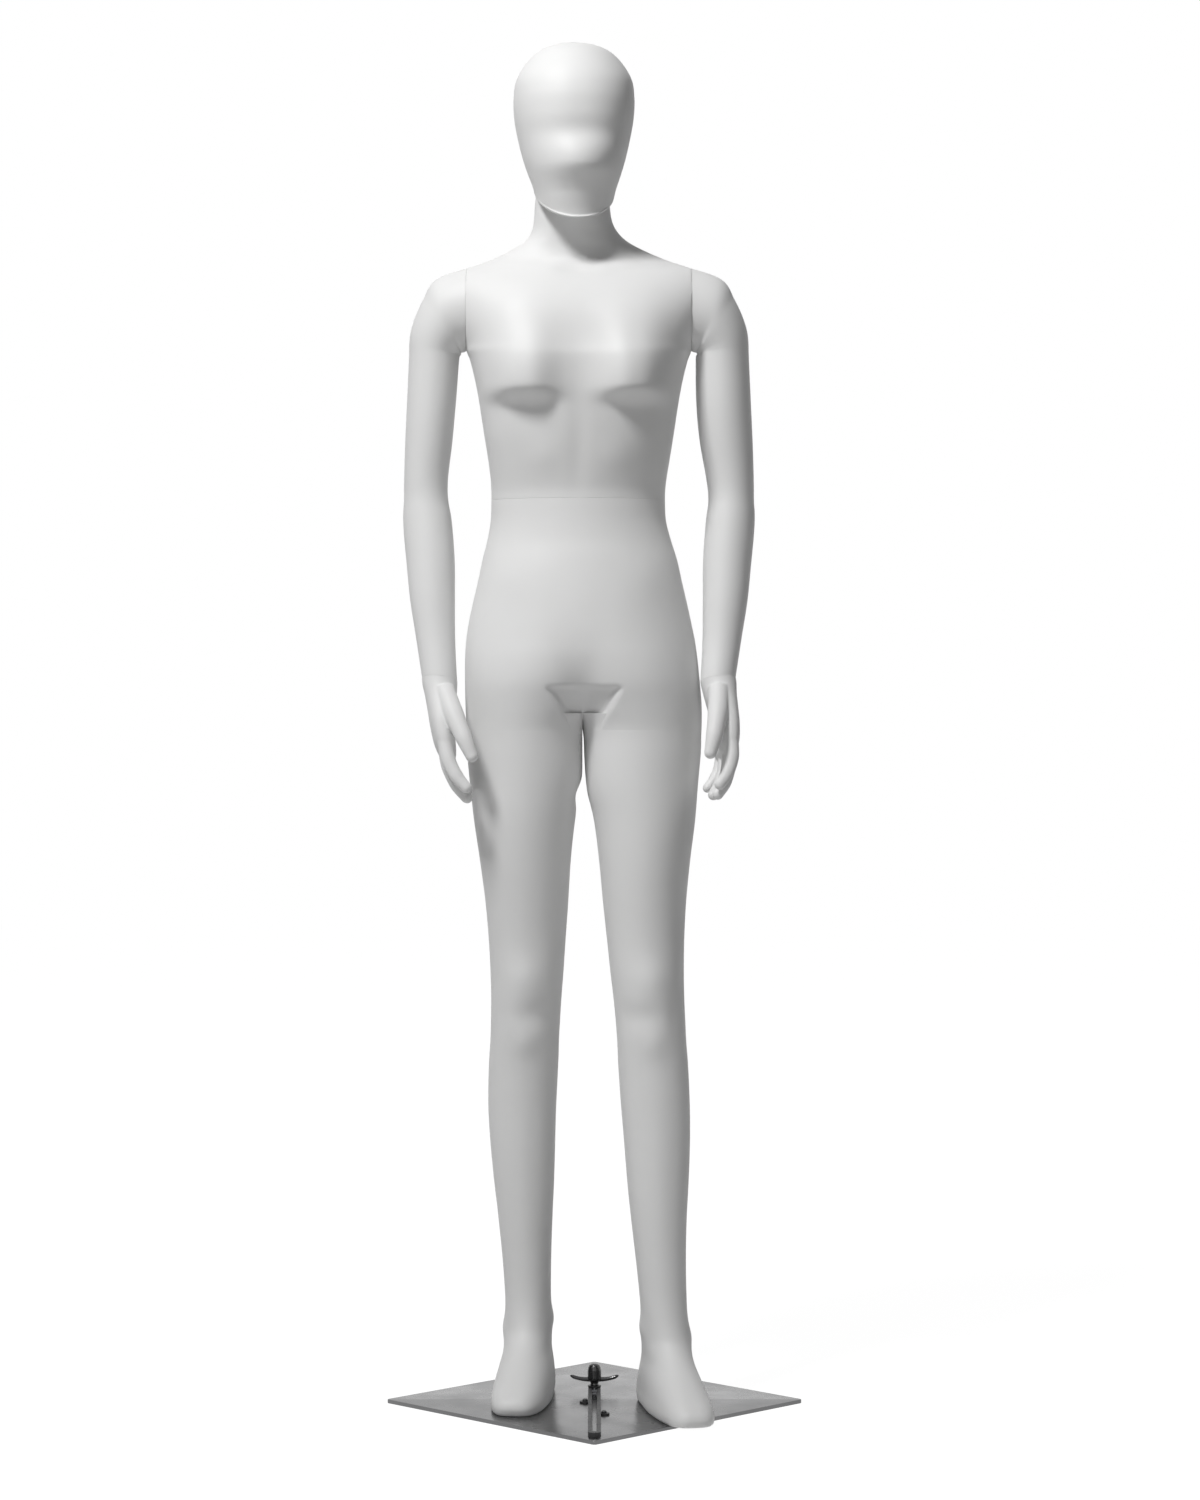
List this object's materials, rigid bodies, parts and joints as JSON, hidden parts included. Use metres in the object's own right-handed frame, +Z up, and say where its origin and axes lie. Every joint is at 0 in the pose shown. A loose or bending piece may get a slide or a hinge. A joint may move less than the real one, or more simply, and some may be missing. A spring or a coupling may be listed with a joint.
{
  "type": "full body mannequin",
  "caption": "Full body female display mannequin with a plain abstract head, turning head, arms and hands and a lift-off torso, on a square steel stand.",
  "frame": {"origin": "centre of the base plate's underside", "axes": "+Z up, the figure faces -Y, its right side on -X"},
  "size_m": [0.5332, 0.5332, 1.7525],
  "materials": {
    "white_shell": "satin white lacquer",
    "fitting_plastic": "moulded",
    "fitting_steel": "zinc plated",
    "black_steel": "black powder coat",
    "plate_steel": "polished",
    "black_knob": "gloss black",
    "washer_felt": "felt"
  },
  "bodies": {
    "stand": {"base_plate": "plate_steel", "slot_rail": "black_steel", "rail_screws": "black_steel", "foot_rod": "fitting_steel", "foot_rod_screw": "fitting_steel", "foot_socket": "fitting_steel", "right_leg": "white_shell", "left_leg": "white_shell", "right_leg_plug": "fitting_plastic", "left_leg_plug": "fitting_plastic", "pelvis": "white_shell", "waist_lower_plate": "fitting_plastic", "waist_spigot": "fitting_steel", "waist_screws": "fitting_steel"},
    "clamp": {"clamp_stud": "fitting_steel", "clamp_washer": "black_steel"},
    "knob": {"wing_knob": "black_knob"},
    "torso": {"torso": "white_shell", "waist_upper_plate": "fitting_plastic", "neck_plug": "fitting_plastic", "neck_washer": "washer_felt", "right_shoulder_plate": "fitting_steel", "left_shoulder_plate": "fitting_steel", "right_shoulder_screws": "fitting_steel", "left_shoulder_screws": "fitting_steel", "right_shoulder_retainer": "fitting_steel", "left_shoulder_retainer": "fitting_steel"},
    "head": {"head": "white_shell", "head_bearing": "fitting_plastic"},
    "right_arm": {"right_arm": "white_shell", "right_arm_plate": "fitting_plastic", "right_wrist_socket": "fitting_plastic"},
    "left_arm": {"left_arm": "white_shell", "left_arm_plate": "fitting_plastic", "left_wrist_socket": "fitting_plastic"},
    "right_hand": {"right_hand": "white_shell", "right_wrist_pin": "fitting_steel"},
    "left_hand": {"left_hand": "white_shell", "left_wrist_pin": "fitting_steel"}
  },
  "joints": [
    {"name": "waist_lift", "type": "slide", "parent": "stand", "child": "torso", "axis": [0, 0, 1], "range_m": [0, 0.03]},
    {"name": "head_turn", "type": "hinge", "parent": "torso", "child": "head", "pos_m": [-0.028, 0.012, 1.572], "axis": [0, 0, 1], "range_deg": [-85, 85]},
    {"name": "right_arm_swing", "type": "hinge", "parent": "torso", "child": "right_arm", "pos_m": [-0.165, 0.008, 1.41], "axis": [-1, 0, 0], "range_deg": [0, 90]},
    {"name": "left_arm_swing", "type": "hinge", "parent": "torso", "child": "left_arm", "pos_m": [0.125, 0.008, 1.41], "axis": [-1, 0, 0], "range_deg": [0, 90]},
    {"name": "right_hand_turn", "type": "hinge", "parent": "right_arm", "child": "right_hand", "pos_m": [-0.1995, -0.038, 0.932], "axis": [0.0976, 0.2643, 0.9595], "range_deg": [-20, 20]},
    {"name": "left_hand_turn", "type": "hinge", "parent": "left_arm", "child": "left_hand", "pos_m": [0.1595, -0.038, 0.932], "axis": [-0.0976, 0.2643, 0.9595], "range_deg": [-20, 20]},
    {"name": "clamp_slide", "type": "slide", "parent": "stand", "child": "clamp", "axis": [0, -1, 0], "range_m": [0, 0.27]},
    {"name": "knob_turn", "type": "hinge", "parent": "clamp", "child": "knob", "pos_m": [0, 0.052, 0.0134], "axis": [0, 0, 1], "range_deg": [-360, 360]}
  ]
}
